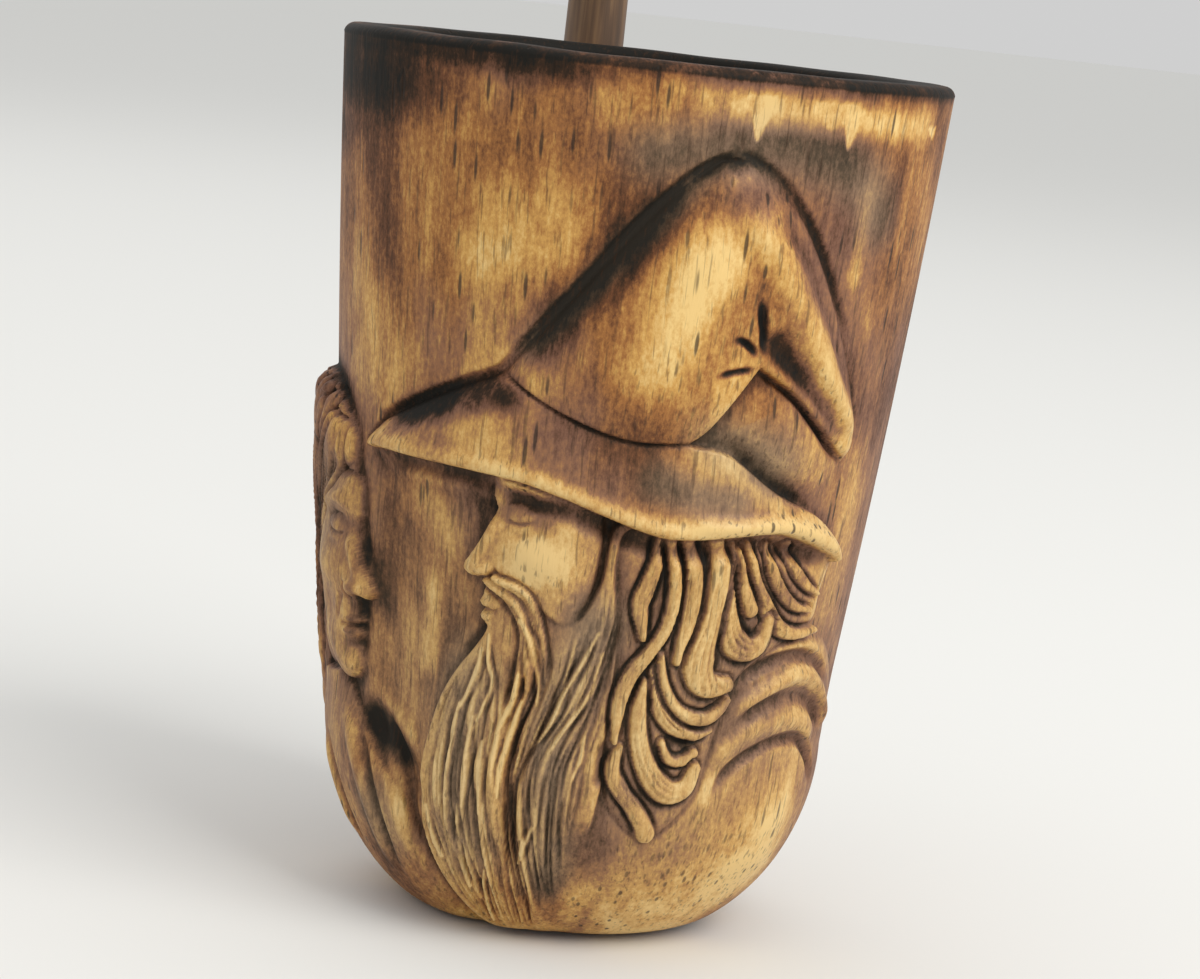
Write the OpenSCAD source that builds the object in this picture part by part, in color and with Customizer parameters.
/* [Cup] */
// Height from the flat base to the rim
cup_height = 110; // [90:1:140]
// Outer radius at the rim
rim_radius = 38.5; // [34:0.5:46]
// Radius of the flat foot that the cup stands on
base_radius = 14; // [10:0.5:20]
// Outer radius where the rounded bottom meets the side
belly_radius = 31; // [26:0.5:34]
// Height where the rounded bottom meets the side
belly_height = 26; // [20:1:34]
// Thickness of the side
side_thickness = 6; // [5:0.5:8]
// Thickness of the wood under the drink
floor_thickness = 10; // [8:0.5:14]

/* [Carving] */
// How far the carved front is turned round the cup from the side opposite the handle
carving_turn = -10.5; // [-20:0.5:20]
// How far the hat, the hair and the beard stand proud of the side
relief_height = 2; // [1:0.25:3]

/* [Handle] */
// Radius of the stick at the cup
stick_radius = 4.2; // [4:0.1:5.5]
// Radius of the stick below the finial
stick_top_radius = 3.8; // [3.5:0.1:4.6]
// How far the stick rises above the rim
stick_rise = 58; // [40:1:90]
// Height of the ledge that the stick stands on
ledge_height = 38; // [34:1:50]
// Width of the flattened finial across the stick
finial_width = 17; // [14:0.5:22]
// Thickness of the finial
finial_thickness = 7; // [5:0.5:8]
// Radius of the hanging hole through the finial
hang_hole_radius = 2.5; // [2:0.25:3.5]

/* [Pegs] */
// Radius of the wooden pegs that hold the stick
peg_radius = 2; // [1.5:0.1:2.5]
// Depth of the peg holes past the stick, into the lug
peg_bite = 5; // [4:0.5:6]
// Height of the lower peg
lower_peg_height = 56; // [50:1:62]
// Height of the upper peg
upper_peg_height = 94; // [86:1:98]

/* [Hidden] */
$fn = 64;

// Radial play between a peg or the stick and the wood around it
play = 0.02;
// Radius of the rounded outer and inner edges of the rim
rim_round = 1.4;
// How full the rounded bottom is: higher is squarer
belly_fullness = 1.65;
// How far the side bulges outwards at mid height
side_swell = 0.5;
// The carving's sideways measures are taken along the side at this radius
girth_radius = 34;
// The stick's axis, clear of the rim
stick_y = rim_radius + stick_radius + 1.3;
stick_top = cup_height + stick_rise;
finial_height = stick_top + finial_width / 2 - 3;
// Whole length of a peg and the height of its rounded end
peg_length = peg_bite + 2 * stick_radius + 0.8;
peg_dome = 1.1;
// Height over which the lug's lower end tapers into the side
lug_taper = 24;
// Steps along the rounded bottom and along the side
belly_steps = 8;
side_steps = 5;

// Outer radius of the plain cup at a height
function side_radius(z) =
    z < belly_height
        ? base_radius + (belly_radius - base_radius)
            * pow(1 - pow(1 - z / belly_height, 2), 1 / belly_fullness)
        : let (t = (z - belly_height) / (cup_height - belly_height))
            belly_radius + (rim_radius - belly_radius) * t + side_swell * 4 * t * (1 - t);

// Inner radius at a height above the floor of the cup
cavity_round = belly_height + 6;
function cavity_radius(z) =
    let (full = side_radius(max(z, cavity_round)) - side_thickness)
    z < cavity_round
        ? full * sqrt(1 - pow((cavity_round - z) / (cavity_round - floor_thickness), 2))
        : full;

// Heights of the profile's points, closer together along the rounded bottom
function belly_levels() = [for (i = [0:belly_steps]) belly_height * pow(i / belly_steps, 1.6)];
function side_levels(top) =
    [for (i = [1:side_steps]) belly_height + (top - belly_height) * i / side_steps];

// Half of the solid cup's section: foot, rounded bottom, side and rounded rim
module outer_section() {
    top = cup_height - rim_round;
    polygon(concat(
        [[0, 0]],
        [for (z = concat(belly_levels(), side_levels(top))) [side_radius(z), z]],
        [for (a = [30:30:90])
            [rim_radius - rim_round + rim_round * cos(a), top + rim_round * sin(a)]],
        [[0, cup_height]]
    ));
}

// Half of the drinking space's section, flaring over the rounded inner edge of the rim
module cavity_section() {
    top = cup_height - rim_round;
    lip = cavity_radius(top);
    polygon(concat(
        [[0, floor_thickness]],
        [for (a = [15:15:75]) let (z = cavity_round - (cavity_round - floor_thickness) * cos(a))
            [cavity_radius(z), z]],
        [for (z = [cavity_round, (cavity_round + top) / 2, top]) [cavity_radius(z), z]],
        [for (a = [30:30:90])
            [lip + rim_round * (1 - cos(a)), top + rim_round * sin(a)]],
        [[lip + rim_round, cup_height + 1], [0, cup_height + 1]]
    ));
}

// A skin that follows the side and stands proud of it, fading out towards the foot
module proud_skin(height) {
    rotate_extrude() polygon(concat(
        [[0, 1], [side_radius(1), 1]],
        [for (z = concat([for (i = [3:belly_steps]) belly_height * pow(i / belly_steps, 1.6)],
                         side_levels(cup_height - 6)))
            [side_radius(z) + height * min(1, z / 14), z]],
        [[0, cup_height - 6]]
    ));
}

// A raised patch: points are [distance round the cup from the patch's middle, height]
module raised(points, height, middle = 0) {
    outline = [for (p = points)
        [side_radius(p[1]) * sin(p[0] / girth_radius * 180 / PI), p[1]]];
    intersection() {
        proud_skin(height);
        rotate([0, 0, middle / girth_radius * 180 / PI])
            translate([0, -5, 0]) rotate([90, 0, 0])
                linear_extrude(height = rim_radius + 10) polygon(outline);
    }
}

// Tall pointed hat, its tip drooping over the back of the brim
module hat() {
    raised([[-13, 72], [-7, 80], [0, 90], [6, 97], [10, 100], [14, 99], [20, 93], [26, 83],
            [32, 72], [34, 67], [32, 63], [25, 59], [8, 60], [-4, 63]], relief_height);
    raised([[-34, 60], [-31, 64], [-22, 68], [-13, 72], [-5, 67], [2, 65], [9, 65], [16, 62],
            [24, 58], [34, 52], [26, 55], [10, 54], [-4, 57], [-14, 59]], relief_height + 1.5);
}

// The old man's head under the brim, seen from its left side
module head() {
    raised([[-14, 60], [-14, 50], [-11, 42], [0, 38], [6, 44], [6, 56]], relief_height + 0.5);
}

// Long beard that tapers towards the foot
module beard() {
    raised([[-11, 46], [-16, 36], [-20, 28], [-21, 18], [-19, 9], [-12, 3], [-6, 6],
            [0, 18], [5, 32], [6, 46], [0, 50]], relief_height);
}

// Locks of hair that hang behind the head
module hair() {
    raised([[4, 56], [32, 54], [32, 44], [22, 38], [19, 30], [15, 20], [8, 19],
            [4, 26], [3, 40]], relief_height + 0.3);
}

// Shoulder of the cloak, below the hair
module cloak() {
    raised([[16, 30], [24, 38], [34, 41], [45, 37], [46, 22], [40, 10], [26, 5],
            [8, 4], [4, 14], [10, 22]], relief_height - 0.5);
}

// Second figure on the left: a long-haired head turned towards the first, and its shoulder
module second_figure() {
    middle = -49;
    raised([for (a = [0:20:340]) [14.5 * cos(a), 47.5 + 19 * sin(a)]], relief_height + 0.5, middle);
    raised([[-16, 40], [14, 40], [19, 28], [26, 22], [26, 12], [20, 6], [-12, 6], [-22, 14],
            [-22, 24]], relief_height, middle);
}

// Carved block at the back of the cup that takes the stick, tapering into the side below it
module lug() {
    width = 3.4 * stick_radius;
    reach = stick_y - 0.6;
    foot = ledge_height - lug_taper;
    head = cup_height - 5;
    start = side_radius(foot) - 1;
    intersection() {
        rotate([90, 0, 90]) translate([0, 0, -width]) linear_extrude(height = 2 * width)
            polygon(concat(
                [[start - 8, foot]],
                [for (t = [0:0.2:1])
                    [start + (reach - start) * pow(sin(90 * t), 1.6), foot + (lug_taper - 2) * t]],
                [for (a = [0:18:90]) [reach - 6 + 6 * cos(a), head - 6 + 6 * sin(a)]],
                [[rim_radius - 4.5, head]]
            ));
        translate([0, 0, foot - 1]) linear_extrude(height = cup_height)
            polygon([[-width / 2 - 4, 20], [width / 2 + 4, 20], [width / 2 + 3, rim_radius - 5],
                     [width / 2, reach - 2], [width / 2 - 2, reach + 0.1],
                     [-width / 2 + 2, reach + 0.1], [-width / 2, reach - 2],
                     [-width / 2 - 3, rim_radius - 5]]);
    }
}

// Puts a shape that stands on the peg's axis in its place, pointing out behind the stick
module at_peg(height) {
    translate([0, stick_y - stick_radius - peg_bite, height]) rotate([-90, 0, 0]) children();
}

// A blind hole for a peg, through the stick and into the lug
module peg_hole(height) {
    at_peg(height) cylinder(h = peg_length, r = peg_radius + play);
}

// The cup: one block of wood, hollowed, with the figures carved in its side
module cup_body() {
    color("peru") difference() {
        union() {
            rotate_extrude() outer_section();
            rotate([0, 0, carving_turn]) {
                hat();
                head();
                beard();
                hair();
                cloak();
                second_figure();
            }
            lug();
        }
        rotate_extrude() cavity_section();
        translate([0, stick_y, ledge_height])
            cylinder(h = cup_height, r = stick_radius + play);
        peg_hole(lower_peg_height);
        peg_hole(upper_peg_height);
    }
}

// Round stick with a flattened finial that is drilled for hanging
module handle() {
    color("saddlebrown") difference() {
        union() {
            translate([0, stick_y, ledge_height])
                cylinder(h = cup_height - ledge_height, r = stick_radius);
            translate([0, stick_y, cup_height])
                cylinder(h = stick_rise, r1 = stick_radius, r2 = stick_top_radius);
            intersection() {
                translate([0, stick_y, finial_height]) sphere(d = finial_width);
                translate([-finial_width, stick_y - finial_thickness / 2, cup_height])
                    cube([2 * finial_width, finial_thickness, 2 * stick_rise]);
            }
        }
        translate([0, stick_y - finial_width, finial_height]) rotate([-90, 0, 0])
            cylinder(h = 2 * finial_width, r = hang_hole_radius);
        peg_hole(lower_peg_height);
        peg_hole(upper_peg_height);
    }
}

// A wooden peg with its outer end rounded over, a little proud of the stick
module peg(height) {
    at_peg(height) rotate_extrude() polygon(concat(
        [[0, 0], [peg_radius, 0]],
        [for (a = [0:15:75])
            [peg_radius * cos(a), peg_length - peg_dome + peg_dome * sin(a)]],
        [[0, peg_length]]
    ));
}

module upper_peg() {
    color("burlywood") peg(upper_peg_height);
}

module lower_peg() {
    color("burlywood") peg(lower_peg_height);
}

cup_body();
handle();
upper_peg();
lower_peg();
